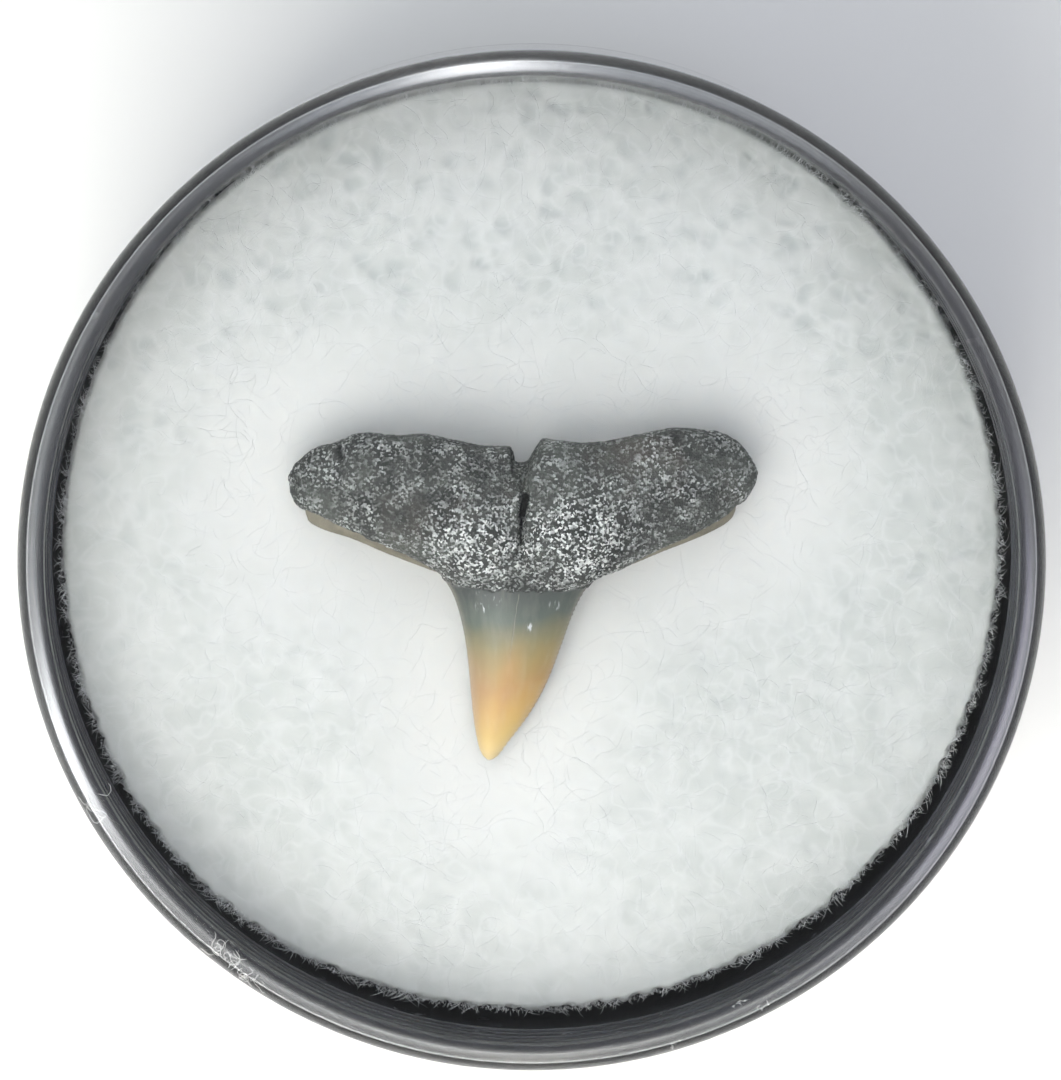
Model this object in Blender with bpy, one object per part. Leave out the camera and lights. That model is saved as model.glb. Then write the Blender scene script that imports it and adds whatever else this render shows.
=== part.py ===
"""Fossil lemon shark tooth on a fibre pad, in a small round clear display jar with its lid on.

Metres, +Z up. The origin is the middle of the jar's underside. The jar is looked into from above:
+Y is the side that the tooth's root points to, and -Y the side that its cusp points to.
The tooth lies on its flat labial face, with its lingual face up against the lid.
"""

import math

import bmesh
import bpy
from mathutils import Vector, noise

MM = 0.001

# Jar
JAR_RADIUS = 19.0 * MM
JAR_HEIGHT = 17.4 * MM
ROUND_STEPS = 68
RUNNING_GAP = 0.15 * MM
REST_GAP = 0.3 * MM

# Lid
LID_WALL = 0.5 * MM
LID_WINDOW = 0.65 * MM
LID_EDGE_ROUND = 1.1 * MM
LID_INNER_ROUND = 0.2 * MM
LID_MOUTH = 6.3 * MM

# Base
BASE_SHOULDER = LID_MOUTH - REST_GAP
BASE_WALL = 1.0 * MM
BASE_FLOOR = 1.2 * MM
BASE_FOOT_ROUND = 0.6 * MM
BASE_FOOT_RADIUS = 18.4 * MM
NECK_RADIUS = JAR_RADIUS - LID_WALL - RUNNING_GAP
NECK_WALL = 0.35 * MM
NECK_TOP = JAR_HEIGHT - LID_WINDOW - REST_GAP
NECK_BEADS = (8.4 * MM, 10.6 * MM, 12.8 * MM)
BEAD_HEIGHT = 0.7 * MM
BEAD_DEPTH = 0.10 * MM

# Fibre pad, which lies a little towards +Y in the neck
PAD_RADIUS = 17.55 * MM
PAD_SHIFT = 0.4 * MM
PAD_BOTTOM = BASE_FLOOR + REST_GAP
PAD_BOTTOM_RADIUS = 15.6 * MM
PAD_FOOT_RADIUS = 17.0 * MM
PAD_FOOT_ROUND = 1.5 * MM
PAD_EDGE = 13.4 * MM
PAD_CROWN = 13.5 * MM
PAD_DOME_POWER = 2.6
PAD_ROLL = 0.3 * MM
PAD_RINGS = 13
DENT_REACH = 5.5 * MM
DENT_MARGIN = 0.5 * MM

# Tooth: the middle of the line between root and crown, on the labial face
TOOTH_ORIGIN = Vector((-0.40, -1.03, 13.2)) * MM
ROOT_STATIONS = 36
ROOT_AROUND = 24
HEEL_STATIONS = 34
HEEL_AROUND = 12
CUSP_STATIONS = 26
CUSP_AROUND = 20
ROOT_SQUARENESS = 2.5
HEEL_SQUARENESS = 1.7
ROOT_ROUGHNESS = 0.09 * MM
ROOT_ROUGHNESS_SCALE = 1.1 * MM

# Rows in millimetres from the tooth's own origin.
# Root: x, lower edge, upper edge, labial z, lingual z
ROOT_ROWS = (
    (-8.63, 4.00, 4.00, 1.05, 1.05),
    (-8.50, 3.52, 4.42, 0.80, 1.38),
    (-8.15, 3.03, 4.82, 0.60, 1.68),
    (-7.44, 2.72, 5.27, 0.45, 1.95),
    (-6.76, 2.42, 5.46, 0.40, 2.12),
    (-5.72, 1.98, 5.87, 0.35, 2.34),
    (-4.75, 1.52, 5.72, 0.30, 2.52),
    (-3.50, 0.98, 5.75, 0.25, 2.72),
    (-2.60, 0.45, 5.58, 0.25, 2.88),
    (-1.35, 0.04, 5.35, 0.25, 3.00),
    (-0.10, -0.02, 5.30, 0.25, 2.92),
    (0.90, 0.00, 5.60, 0.25, 3.00),
    (2.17, 0.12, 5.46, 0.25, 2.94),
    (3.00, 0.52, 5.49, 0.25, 2.82),
    (4.00, 0.92, 5.64, 0.25, 2.66),
    (5.00, 1.42, 5.81, 0.30, 2.50),
    (5.83, 1.82, 5.94, 0.35, 2.34),
    (6.80, 2.28, 5.90, 0.40, 2.14),
    (7.62, 2.78, 5.68, 0.45, 1.90),
    (8.26, 3.32, 5.19, 0.60, 1.62),
    (8.62, 3.85, 4.71, 0.82, 1.36),
    (8.78, 4.28, 4.28, 1.08, 1.08),
)
# Heels, the thin flanges of the crown below the root: x, free edge, edge under the root, labial z, lingual z
HEEL_ROWS = (
    (-8.10, 2.90, 3.10, 0.30, 0.50),
    (-8.00, 2.46, 3.70, 0.15, 0.70),
    (-7.44, 2.09, 4.10, 0.08, 0.84),
    (-6.35, 1.74, 4.10, 0.04, 0.92),
    (-5.23, 1.27, 3.80, 0.02, 0.98),
    (-4.15, 0.84, 3.50, 0.00, 1.05),
    (-3.10, 0.46, 3.20, 0.00, 1.12),
    (0.00, -0.30, 3.00, 0.00, 1.20),
    (2.65, 0.13, 3.00, 0.00, 1.12),
    (3.25, 0.45, 3.20, 0.00, 1.08),
    (4.00, 0.71, 3.50, 0.00, 1.02),
    (5.19, 1.20, 3.80, 0.02, 0.96),
    (6.43, 1.68, 4.10, 0.04, 0.90),
    (7.40, 2.14, 4.10, 0.08, 0.82),
    (7.96, 2.58, 3.70, 0.15, 0.70),
    (8.06, 2.90, 3.10, 0.30, 0.50),
)
# Cusp: y, left edge, right edge, labial z, lingual z
CUSP_ROWS = (
    (1.70, -2.20, 2.20, 0.60, 1.60),
    (1.20, -3.35, 3.20, 0.30, 2.20),
    (0.42, -2.98, 2.85, 0.12, 2.46),
    (-0.26, -2.58, 2.34, 0.06, 2.42),
    (-1.23, -2.28, 1.90, 0.02, 2.22),
    (-2.20, -2.09, 1.56, 0.00, 2.00),
    (-3.06, -1.99, 1.25, 0.00, 1.78),
    (-3.66, -1.94, 1.01, 0.02, 1.62),
    (-4.26, -1.89, 0.71, 0.05, 1.45),
    (-4.90, -1.83, 0.33, 0.10, 1.25),
    (-5.50, -1.75, -0.10, 0.16, 1.06),
    (-6.05, -1.65, -0.52, 0.24, 0.88),
    (-6.45, -1.50, -0.80, 0.32, 0.74),
    (-6.62, -1.38, -0.96, 0.40, 0.62),
    (-6.69, -1.22, -1.22, 0.50, 0.50),
)
# Nutrient groove down the lingual face, cut right through at the notch in the upper edge:
# y, middle x, half width, depth
GROOVE_ROWS = (
    (6.20, 0.20, 0.86, 3.40),
    (5.40, 0.16, 0.66, 3.40),
    (4.95, 0.08, 0.52, 3.40),
    (4.68, 0.02, 0.42, 3.40),
    (4.50, 0.02, 0.34, 1.60),
    (4.36, 0.02, 0.28, 0.60),
    (3.80, 0.12, 0.22, 0.50),
    (3.40, 0.14, 0.24, 0.80),
    (2.80, 0.04, 0.20, 0.70),
    (2.20, 0.02, 0.22, 0.34),
    (1.40, 0.00, 0.22, 0.22),
    (0.80, 0.00, 0.16, 0.03),
)
GROOVE_STEPS = 6
# Swellings and hollows of the root's lingual face: x, y, reach, height
ROOT_LUMPS = (
    (-1.90, 2.10, 1.30, 0.26),
    (2.30, 2.20, 1.40, 0.28),
    (-7.00, 4.90, 0.55, -0.22),
    (-6.10, 4.40, 0.90, 0.14),
    (-4.20, 4.60, 0.90, -0.12),
    (4.60, 4.60, 1.00, -0.10),
    (6.70, 4.30, 0.90, 0.14),
    (0.95, 5.30, 0.45, 0.18),
)

# Colours
CLEAR_TINT = (0.72, 0.76, 0.80, 1.0)
DARK_GREY = (0.04, 0.04, 0.045, 1.0)
FIBRE_WHITE = (0.86, 0.88, 0.87, 1.0)
ROOT_GREY = (0.12, 0.12, 0.12, 1.0)


def clear_scene():
    for thing in list(bpy.data.objects):
        bpy.data.objects.remove(thing, do_unlink=True)


def principled(name, colour, roughness, metallic=0.0, transmission=0.0, alpha=1.0):
    material = bpy.data.materials.new(name)
    material.use_nodes = True
    shader = material.node_tree.nodes["Principled BSDF"]
    shader.inputs["Base Color"].default_value = colour
    shader.inputs["Roughness"].default_value = roughness
    shader.inputs["Metallic"].default_value = metallic
    shader.inputs["Transmission Weight"].default_value = transmission
    shader.inputs["Alpha"].default_value = alpha
    return material


def add_object(name, mesh_builder, material, sharp_degrees=40.0):
    mesh = bpy.data.meshes.new(name)
    mesh_builder.to_mesh(mesh)
    mesh_builder.free()
    mesh.materials.append(material)
    mesh.shade_smooth()
    mesh.set_sharp_from_angle(angle=math.radians(sharp_degrees))
    thing = bpy.data.objects.new(name, mesh)
    bpy.context.collection.objects.link(thing)
    return thing


def arc(centre_r, centre_z, radius, start_degrees, end_degrees, steps):
    """Points of an arc in the (r, z) plane, both ends included."""
    points = []
    for step in range(steps + 1):
        angle = math.radians(start_degrees + (end_degrees - start_degrees) * step / steps)
        points.append((centre_r + radius * math.cos(angle), centre_z + radius * math.sin(angle)))
    return points


def turned(profile):
    """A closed body turned about Z from (r, z) points that start and end on the axis."""
    builder = bmesh.new()
    corners = [builder.verts.new((r, 0.0, z)) for r, z in profile]
    edges = [builder.edges.new(pair) for pair in zip(corners, corners[1:])]
    bmesh.ops.spin(
        builder,
        geom=corners + edges,
        cent=(0.0, 0.0, 0.0),
        axis=(0.0, 0.0, 1.0),
        angle=2.0 * math.pi,
        steps=ROUND_STEPS,
        use_merge=True,
    )
    bmesh.ops.remove_doubles(builder, verts=builder.verts, dist=1e-6)
    bmesh.ops.recalc_face_normals(builder, faces=builder.faces)
    return builder


def row_at(rows, place):
    """The other columns of rows at a place along the first column, on a smooth curve."""
    ordered = sorted(rows)
    if place <= ordered[0][0]:
        return ordered[0][1:]
    if place >= ordered[-1][0]:
        return ordered[-1][1:]
    last = len(ordered) - 1
    span = next(i for i in range(last) if place <= ordered[i + 1][0])
    start, end = ordered[span], ordered[span + 1]
    length = end[0] - start[0]
    share = (place - start[0]) / length
    values = []
    for column in range(1, len(start)):
        rise = end[column] - start[column]
        slope_in = slope_at(ordered, span, column, rise / length)
        slope_out = slope_at(ordered, span + 1, column, rise / length)
        values.append(
            start[column] * (1 + 2 * share) * (1 - share) ** 2
            + end[column] * share ** 2 * (3 - 2 * share)
            + slope_in * length * share * (1 - share) ** 2
            - slope_out * length * share ** 2 * (1 - share)
        )
    return values


def slope_at(ordered, index, column, span_slope):
    """The slope of a column at a row: level at a peak or dip, else between its two neighbours' slopes."""
    if index in (0, len(ordered) - 1):
        return span_slope
    before, here, after = ordered[index - 1], ordered[index], ordered[index + 1]
    slope_before = (here[column] - before[column]) / (here[0] - before[0])
    slope_after = (after[column] - here[column]) / (after[0] - here[0])
    if slope_before * slope_after <= 0:
        return 0.0
    return 2 * slope_before * slope_after / (slope_before + slope_after)


def section_point(low, high, bottom, top, angle, squareness):
    """A point of a rounded section: across from low to high, and up from bottom to top."""
    side, rise = math.cos(angle), math.sin(angle)
    reach = (abs(side) ** squareness + abs(rise) ** squareness) ** (-1.0 / squareness)
    across = (low + high) / 2 + (high - low) / 2 * side * reach
    upward = (bottom + top) / 2 + (top - bottom) / 2 * rise * reach
    return across, upward


def pulled_ball(stations, around, place):
    """A ball whose rings are set along a body: place(share along, angle) gives each point in millimetres."""
    builder = bmesh.new()
    bmesh.ops.create_uvsphere(builder, u_segments=around, v_segments=stations, radius=1.0)
    for corner in builder.verts:
        along = (1.0 - corner.co.z) / 2
        angle = math.atan2(corner.co.y, corner.co.x)
        corner.co = Vector(place(along, angle)) * MM + TOOTH_ORIGIN
    bmesh.ops.recalc_face_normals(builder, faces=builder.faces)
    return builder


def root_point(along, angle):
    first, last = ROOT_ROWS[0][0], ROOT_ROWS[-1][0]
    x = first + (last - first) * along
    low, high, bottom, top = row_at(ROOT_ROWS, x)
    y, z = section_point(low, high, bottom, top, angle, ROOT_SQUARENESS)
    share_up = max(0.0, math.sin(angle))
    for lump_x, lump_y, reach, height in ROOT_LUMPS:
        gap = math.hypot(x - lump_x, y - lump_y) / reach
        z += height * share_up * math.exp(-gap * gap)
    return x, y, z


def heel_point(along, angle):
    first, last = HEEL_ROWS[0][0], HEEL_ROWS[-1][0]
    x = first + (last - first) * along
    low, high, bottom, top = row_at(HEEL_ROWS, x)
    y, z = section_point(low, high, bottom, top, angle, HEEL_SQUARENESS)
    return x, y, z


def cusp_point(along, angle):
    """The cusp's section has sharp side edges, a nearly flat labial face and a domed lingual face."""
    first, last = CUSP_ROWS[0][0], CUSP_ROWS[-1][0]
    y = first + (last - first) * along
    left, right, bottom, top = row_at(CUSP_ROWS, y)
    side, rise = math.cos(angle), math.sin(angle)
    x = (left + right) / 2 + (right - left) / 2 * side
    edge = bottom + 0.28 * (top - bottom)
    face = top if rise > 0 else bottom
    fullness = 1.15 if rise > 0 else 0.8
    return x, y, edge + (face - edge) * abs(rise) ** fullness


def roughen(builder, amount, scale):
    """Moves each point along its normal by smooth noise."""
    builder.normal_update()
    for corner in builder.verts:
        bump = noise.fractal(corner.co / scale, 0.7, 2.1, 3, noise_basis="PERLIN_ORIGINAL")
        corner.co += corner.normal * bump * amount


def groove_cutter():
    """A tapered round-bottomed trench whose flat top stands above the root."""
    builder = bmesh.new()
    rings = []
    lift = 4.2
    for y, centre, half_width, depth in GROOVE_ROWS:
        surface = row_at(ROOT_ROWS, centre)[3]
        ring = [(centre + 1.6 * half_width, y, lift)]
        for step in range(GROOVE_STEPS + 1):
            angle = math.pi * step / GROOVE_STEPS
            sag = math.sin(angle)
            ring.append((centre + half_width * math.cos(angle), y, surface + 0.1 - (depth + 0.1) * sag))
        ring.append((centre - 1.6 * half_width, y, lift))
        rings.append([builder.verts.new(Vector(point) * MM + TOOTH_ORIGIN) for point in ring])
    for near, far in zip(rings, rings[1:]):
        for step in range(len(near)):
            following = (step + 1) % len(near)
            builder.faces.new((near[step], near[following], far[following], far[step]))
    builder.faces.new(rings[0])
    builder.faces.new(rings[-1])
    bmesh.ops.recalc_face_normals(builder, faces=builder.faces)
    return builder


def joined(thing, other, operation):
    """Adds a Boolean of another object, which becomes a hidden guide."""
    other.hide_render = True
    other.display_type = "WIRE"
    cut = thing.modifiers.new(operation.title() + " " + other.name, "BOOLEAN")
    cut.operation = operation
    cut.solver = "EXACT"
    cut.object = other


def make_tooth():
    material = principled("fossil_tooth", ROOT_GREY, 0.6)
    root = pulled_ball(ROOT_STATIONS, ROOT_AROUND, root_point)
    roughen(root, ROOT_ROUGHNESS, ROOT_ROUGHNESS_SCALE)
    tooth = add_object("shark_tooth", root, material)
    heels = add_object("heel_guide", pulled_ball(HEEL_STATIONS, HEEL_AROUND, heel_point), material)
    cusp = add_object("cusp_guide", pulled_ball(CUSP_STATIONS, CUSP_AROUND, cusp_point), material)
    groove = add_object("groove_guide", groove_cutter(), material)
    joined(tooth, groove, "DIFFERENCE")
    joined(tooth, heels, "UNION")
    joined(tooth, cusp, "UNION")
    return tooth


def make_lid():
    material = principled("clear_lid", CLEAR_TINT, 0.05, transmission=1.0, alpha=0.4)
    inner = JAR_RADIUS - LID_WALL
    ceiling = JAR_HEIGHT - LID_WINDOW
    profile = [(0.0, JAR_HEIGHT)]
    profile += arc(JAR_RADIUS - LID_EDGE_ROUND, JAR_HEIGHT - LID_EDGE_ROUND, LID_EDGE_ROUND, 90, 0, 6)
    profile += [(JAR_RADIUS, LID_MOUTH), (inner, LID_MOUTH)]
    profile += arc(inner - LID_INNER_ROUND, ceiling - LID_INNER_ROUND, LID_INNER_ROUND, 0, 90, 3)
    profile += [(0.0, ceiling)]
    return add_object("jar_lid", turned(profile), material)


def bead(height, outer):
    """A low snap bead around the neck, from its bottom to its top."""
    return [
        (outer - BEAD_DEPTH, height - BEAD_HEIGHT / 2),
        (outer, height),
        (outer - BEAD_DEPTH, height + BEAD_HEIGHT / 2),
    ]


def make_base():
    material = principled("dark_base", DARK_GREY, 0.2)
    plain_neck = NECK_RADIUS - BEAD_DEPTH
    bore = NECK_RADIUS - NECK_WALL
    cup = BASE_FOOT_RADIUS - BASE_WALL
    profile = [(0.0, 0.0)]
    profile += arc(BASE_FOOT_RADIUS - BASE_FOOT_ROUND, BASE_FOOT_ROUND, BASE_FOOT_ROUND, -90, 0, 3)
    profile += [(JAR_RADIUS, BASE_SHOULDER), (plain_neck, BASE_SHOULDER)]
    for height in NECK_BEADS:
        profile += bead(height, NECK_RADIUS)
    profile += [(plain_neck, NECK_TOP), (bore, NECK_TOP), (bore, BASE_SHOULDER)]
    profile += [(cup, BASE_FLOOR + BASE_FOOT_ROUND), (cup - BASE_FOOT_ROUND, BASE_FLOOR), (0.0, BASE_FLOOR)]
    return add_object("jar_base", turned(profile), material)


def distance_to_line(point, start, end):
    """How far a point lies from a straight line between two points, and the share along it."""
    way = end - start
    share = max(0.0, min(1.0, (point - start).dot(way) / way.length_squared))
    return (point - start - way * share).length, share


def distance_to_tooth(x, y):
    """How far a plan point lies outside the tooth, in metres, from a bent bar and a taper."""
    point = Vector((x, y, 0.0)) - Vector((TOOTH_ORIGIN.x, TOOTH_ORIGIN.y, 0.0))
    middle = Vector((0.0, 2.9, 0.0)) * MM
    gaps = []
    for side in (-1, 1):
        lobe_end = Vector((side * 7.4, 4.1, 0.0)) * MM
        gap, share = distance_to_line(point, middle, lobe_end)
        gaps.append(gap - (2.8 - 1.3 * share) * MM)
    gap, share = distance_to_line(point, middle, Vector((-1.1, -6.2, 0.0)) * MM)
    gaps.append(gap - (3.0 - 2.5 * share) * MM)
    return min(gaps)


def crown_height(radius):
    """The undented top of the pad: a low dome with a rolled edge."""
    share = radius / PAD_RADIUS
    dome = PAD_EDGE + (PAD_CROWN - PAD_EDGE) * (1.0 - share ** PAD_DOME_POWER)
    roll = max(0.0, 1.0 - (PAD_RADIUS - radius) / PAD_ROLL)
    return dome - PAD_ROLL * (1.0 - math.sqrt(1.0 - roll * roll))


def press_dent(corner):
    """Lowers a point of the pad's top to lie under the tooth, or on the slope around it."""
    gap = distance_to_tooth(corner.co.x, corner.co.y) - DENT_MARGIN
    share = max(0.0, min(1.0, gap / DENT_REACH))
    slope = share * share * (3.0 - 2.0 * share)
    floor = TOOTH_ORIGIN.z - REST_GAP
    if corner.co.z > floor:
        corner.co.z = floor + (corner.co.z - floor) * slope


def make_pad():
    material = principled("white_fibre", FIBRE_WHITE, 0.95)
    side_top = PAD_EDGE - PAD_ROLL
    profile = [(0.0, PAD_BOTTOM), (PAD_BOTTOM_RADIUS, PAD_BOTTOM)]
    profile += [(PAD_FOOT_RADIUS, PAD_BOTTOM + PAD_FOOT_ROUND), (PAD_RADIUS, side_top)]
    for ring in range(PAD_RINGS - 1, -1, -1):
        radius = PAD_RADIUS * math.sin(math.pi / 2 * ring / PAD_RINGS)
        profile.append((radius, crown_height(radius)))
    builder = turned(profile)
    for corner in builder.verts:
        corner.co.y += PAD_SHIFT
        if corner.co.z > side_top:
            press_dent(corner)
    return add_object("fibre_pad", builder, material)


def main():
    clear_scene()
    make_base()
    make_pad()
    make_tooth()
    make_lid()


main()
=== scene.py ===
import math
import random

import bpy
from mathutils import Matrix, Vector, noise
from mathutils.bvhtree import BVHTree


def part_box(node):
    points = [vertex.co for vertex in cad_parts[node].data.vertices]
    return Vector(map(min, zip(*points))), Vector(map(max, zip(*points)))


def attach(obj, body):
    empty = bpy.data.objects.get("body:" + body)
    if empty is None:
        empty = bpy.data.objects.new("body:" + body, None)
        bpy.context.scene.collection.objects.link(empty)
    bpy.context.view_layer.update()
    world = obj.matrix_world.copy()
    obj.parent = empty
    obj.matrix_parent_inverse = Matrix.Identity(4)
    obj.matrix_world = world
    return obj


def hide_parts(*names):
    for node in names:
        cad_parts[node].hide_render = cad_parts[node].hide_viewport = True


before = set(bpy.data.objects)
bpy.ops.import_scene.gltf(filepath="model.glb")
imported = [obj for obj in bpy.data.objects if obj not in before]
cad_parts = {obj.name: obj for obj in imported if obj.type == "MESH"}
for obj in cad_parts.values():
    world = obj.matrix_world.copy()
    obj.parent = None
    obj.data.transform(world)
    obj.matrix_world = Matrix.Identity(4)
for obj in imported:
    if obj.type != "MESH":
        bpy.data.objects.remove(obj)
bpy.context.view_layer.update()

MM = 0.001

# The photograph and where the jar lies in it, in pixels
PHOTO_WIDTH, PHOTO_HEIGHT = 1061, 1080
JAR_CENTRE_PX = (531.6, 566.5)
JAR_RADIUS_PX = 514.6

# Camera
CAMERA_HEIGHT = 180 * MM
CAMERA_TILT = math.radians(7.0)
SENSOR_WIDTH = 36.0
CLIP_NEAR, CLIP_FAR = 0.005, 10.0

# The jar, read from the frame
LID_LOW, LID_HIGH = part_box("jar_lid")
JAR_RADIUS = LID_HIGH.x
JAR_TOP = LID_HIGH.z
NECK_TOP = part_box("jar_base")[1].z
PAD_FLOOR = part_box("fibre_pad")[0].z
TOOTH_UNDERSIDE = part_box("shark_tooth")[0].z
TURN_STEPS = 192
SMOOTH_ANGLE = 35.0

# Lid
LID_WALL = 0.5 * MM
LID_BORE = JAR_RADIUS - LID_WALL
LID_WINDOW = 0.65 * MM
LID_EDGE_ROUND = 1.1 * MM
LID_INNER_ROUND = 0.06 * MM
LID_LIP_ROUND = 0.03 * MM
LID_EDGE_ROUGHNESS = 0.26
LID_MOUTH = LID_LOW.z - 0.26 * MM
WINDOW_UNDERSIDE = JAR_TOP - LID_WINDOW
WINDOW_RINGS = (9.0 * MM, 16.0 * MM)

# Base
SHOULDER = LID_LOW.z - 0.3 * MM
SHOULDER_ROUND = 0.12 * MM
NECK_RADIUS = JAR_RADIUS - LID_WALL - 0.15 * MM
NECK_WALL = 0.35 * MM
NECK_BORE = NECK_RADIUS - NECK_WALL
NECK_BEADS = (8.4 * MM, 10.6 * MM, 12.8 * MM)
BEAD_HEIGHT = 0.7 * MM
BEAD_DEPTH = 0.10 * MM
BEAD_STEPS = 8
NECK_RIM_ROUND = 0.08 * MM
# Fine ribs round the inside of the neck: height and depth
BORE_RIBS = (
    (15.75 * MM, 0.04 * MM),
    (15.05 * MM, 0.06 * MM),
    (14.45 * MM, 0.04 * MM),
    (13.95 * MM, 0.07 * MM),
)
RIB_HALF_HEIGHT = 0.10 * MM
RIB_STEPS = 6
BASE_WALL = 1.0 * MM
BASE_FLOOR = 1.2 * MM
FOOT_ROUND = 0.6 * MM
FOOT_RADIUS = 18.4 * MM
HUB_RADIUS = 10.0 * MM

# Fibre pad
PAD_RADIUS = 17.66 * MM
PAD_SHIFT = 0.32 * MM
PAD_ROLL = 0.3 * MM
PAD_EDGE = 13.4 * MM
PAD_CROWN = 13.5 * MM
PAD_GRID = 280
# The pad's underside, ring by ring: radius and height
PAD_RINGS = (
    (17.0 * MM, PAD_FLOOR + 1.5 * MM),
    (15.6 * MM, PAD_FLOOR),
    (4.0 * MM, PAD_FLOOR),
)
DENT_REACH = 5.5 * MM
DENT_FLOOR = TOOTH_UNDERSIDE - 0.04 * MM
DENT_MARGIN = 0.5 * MM
# The tooth in plan as tapered bars from its middle: far end, and half width at each end, in millimetres
TOOTH_MIDDLE = Vector((0.0, 2.9, 0.0))
TOOTH_BARS = (
    (Vector((-7.4, 4.1, 0.0)), 2.8, 1.5),
    (Vector((7.4, 4.1, 0.0)), 2.8, 1.5),
    (Vector((-1.1, -6.2, 0.0)), 3.0, 0.5),
)
CELL_SIZE = 0.95 * MM
CELL_DEPTH = 0.07 * MM
CELL_SEED = 5
EDGE_TUFT = 0.55 * MM
EDGE_RAGGEDNESS = 0.010
# Where the pad crowds the neck: azimuth and width in radians, and extra reach as a share of its radius
SWELL_AZIMUTH = math.radians(-137.0)
SWELL_WIDTH = math.radians(32.0)
SWELL_REACH = 0.016

# Fibres on the pad: pieces, strands in each, points of a strand, and ranges in millimetres
STRAND_PIECES = 4
STRANDS_EACH = 380
STRAND_POINTS = 14
STRAND_LENGTHS = (1.2, 3.6)
STRAND_LIFTS = (0.0, 0.012)
STRAND_RADII = (0.0045, 0.006)
STRAND_END = 0.4
# Fibre ends at the pad's edge
FRINGE_COUNT = 9500
FRINGE_REACH = 0.15 * MM
FRINGE_SPANS = 3
FRINGE_RADIUS = 0.009 * MM
# Stray fibres on the lid's edge: azimuth in degrees, radius, number of fibres, and spread in millimetres
RIM_TUFTS = (
    (-127.0, 18.30 * MM, 20, 0.45),
    (-124.2, 18.62 * MM, 10, 0.25),
    (-150.0, 18.45 * MM, 6, 0.60),
    (-73.5, 18.60 * MM, 4, 0.15),
    (-65.0, 17.90 * MM, 5, 0.22),
    (-62.3, 18.50 * MM, 4, 0.15),
)
TUFT_POINTS = 9
TUFT_RADIUS = 0.006 * MM
TUFT_INNER = 17.2 * MM
TUFT_OUTER = JAR_RADIUS - 0.2 * MM

# Tooth: the middle of the line between root and crown, on the labial face
TOOTH_ORIGIN = Vector((-0.40, -1.03, 13.2)) * MM
TOOTH_VOXEL = 0.062 * MM
# The tooth is remeshed and smoothed at this many times its size
TOOTH_GROWTH = 100.0
# The root's lower edge, over the heels and the cusp, in millimetres from the tooth's own origin
ROOT_EDGE = (
    (-8.8, 3.2), (-8.1, 2.95), (-7.4, 2.66), (-6.3, 2.20), (-5.2, 1.72), (-4.3, 1.28), (-3.5, 0.74),
    (-2.9, 0.36), (-2.4, 0.12), (-1.3, 0.07), (0.0, 0.02), (1.2, 0.00), (2.3, 0.0), (2.7, 0.14),
    (3.2, 0.42), (4.0, 0.80), (5.2, 1.32), (6.4, 1.84), (7.4, 2.46), (8.0, 3.1), (8.9, 3.5),
)
# The cusp's side edges: y, x on the left and x on the right
CUSP_EDGES = (
    (0.4, -2.98, 2.85), (-0.26, -2.58, 2.34), (-1.23, -2.28, 1.90), (-2.2, -2.09, 1.56),
    (-3.06, -1.99, 1.25), (-4.26, -1.89, 0.71), (-5.5, -1.75, -0.10), (-6.05, -1.65, -0.52),
    (-6.69, -1.22, -1.22),
)
# The swellings beside the groove: x, y, width and height
ROOT_BULGES = ((-1.7, 1.9, 1.5, 1.3), (2.2, 2.0, 1.7, 1.4))
# Creases of the root's lingual face, cut in and darkened with painted shade: x, y, then x, y of the other
# end, and half width
CREASES = (
    (-6.80, 5.60, -6.66, 4.95, 0.09),
    (0.20, 3.60, 0.04, 2.90, 0.12),
    (0.02, 2.75, 0.00, 1.90, 0.05),
    (-0.36, 5.20, -0.30, 4.50, 0.05),
)
CREASE_DEPTH = 0.10
# Scratched spots at the crown's base, where near-white streaks are painted as glints: x, y, reach
SCRATCH_GLINT_SPOTS = (
    (-1.45, 0.05, 0.30),
    (-0.95, -0.30, 0.26),
    (-1.45, -0.60, 0.30),
    (1.25, -0.55, 0.26),
    (0.35, -1.35, 0.22),
)

# Colours
LID_TINT, LID_TINT_DENSITY = (0.64, 0.68, 0.74, 1.0), 450.0
BASE_DARK, BASE_LIGHT = (0.022, 0.023, 0.028, 1.0), (0.05, 0.05, 0.058, 1.0)
BATTING_DARK, BATTING_LIGHT = (0.715, 0.735, 0.69, 1.0), (0.83, 0.84, 0.80, 1.0)
BATTING_HOLLOW_SHADE = (0.50, 0.55, 0.52, 1.0)
BATTING_BED_LIGHT = (0.92, 0.915, 0.87, 1.0)
BATTING_WEB = (0.87, 0.88, 0.85, 1.0)
STRAND_DARK, STRAND_LIGHT = (0.92, 0.93, 0.91, 1.0), (0.96, 0.965, 0.95, 1.0)
FRINGE_DARK, FRINGE_LIGHT = (0.88, 0.90, 0.90, 1.0), (0.96, 0.965, 0.96, 1.0)
STONE_DARK, STONE_LIGHT = (0.024, 0.026, 0.023, 1.0), (0.100, 0.108, 0.094, 1.0)
STONE_WARM = (0.13, 0.11, 0.09, 1.0)
STONE_GRAIN = (0.95, 0.97, 0.93, 1.0)
STONE_CREASE_SHADE = (0.004, 0.004, 0.004, 1.0)
SEAM = (0.012, 0.012, 0.013, 1.0)
HEEL_DARK, HEEL_LIGHT = (0.17, 0.15, 0.105, 1.0), (0.28, 0.25, 0.18, 1.0)
HEEL_RIM = (0.30, 0.27, 0.21, 1.0)
ENAMEL_ORANGE = (0.55, 0.28, 0.09, 1.0)
ENAMEL_PINK = (0.52, 0.34, 0.23, 1.0)
ENAMEL_EDGE = (0.56, 0.49, 0.37, 1.0)
ENAMEL_STREAK = (0.80, 0.74, 0.62, 1.0)
ENAMEL_CRACK = (0.42, 0.40, 0.34, 1.0)
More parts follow.
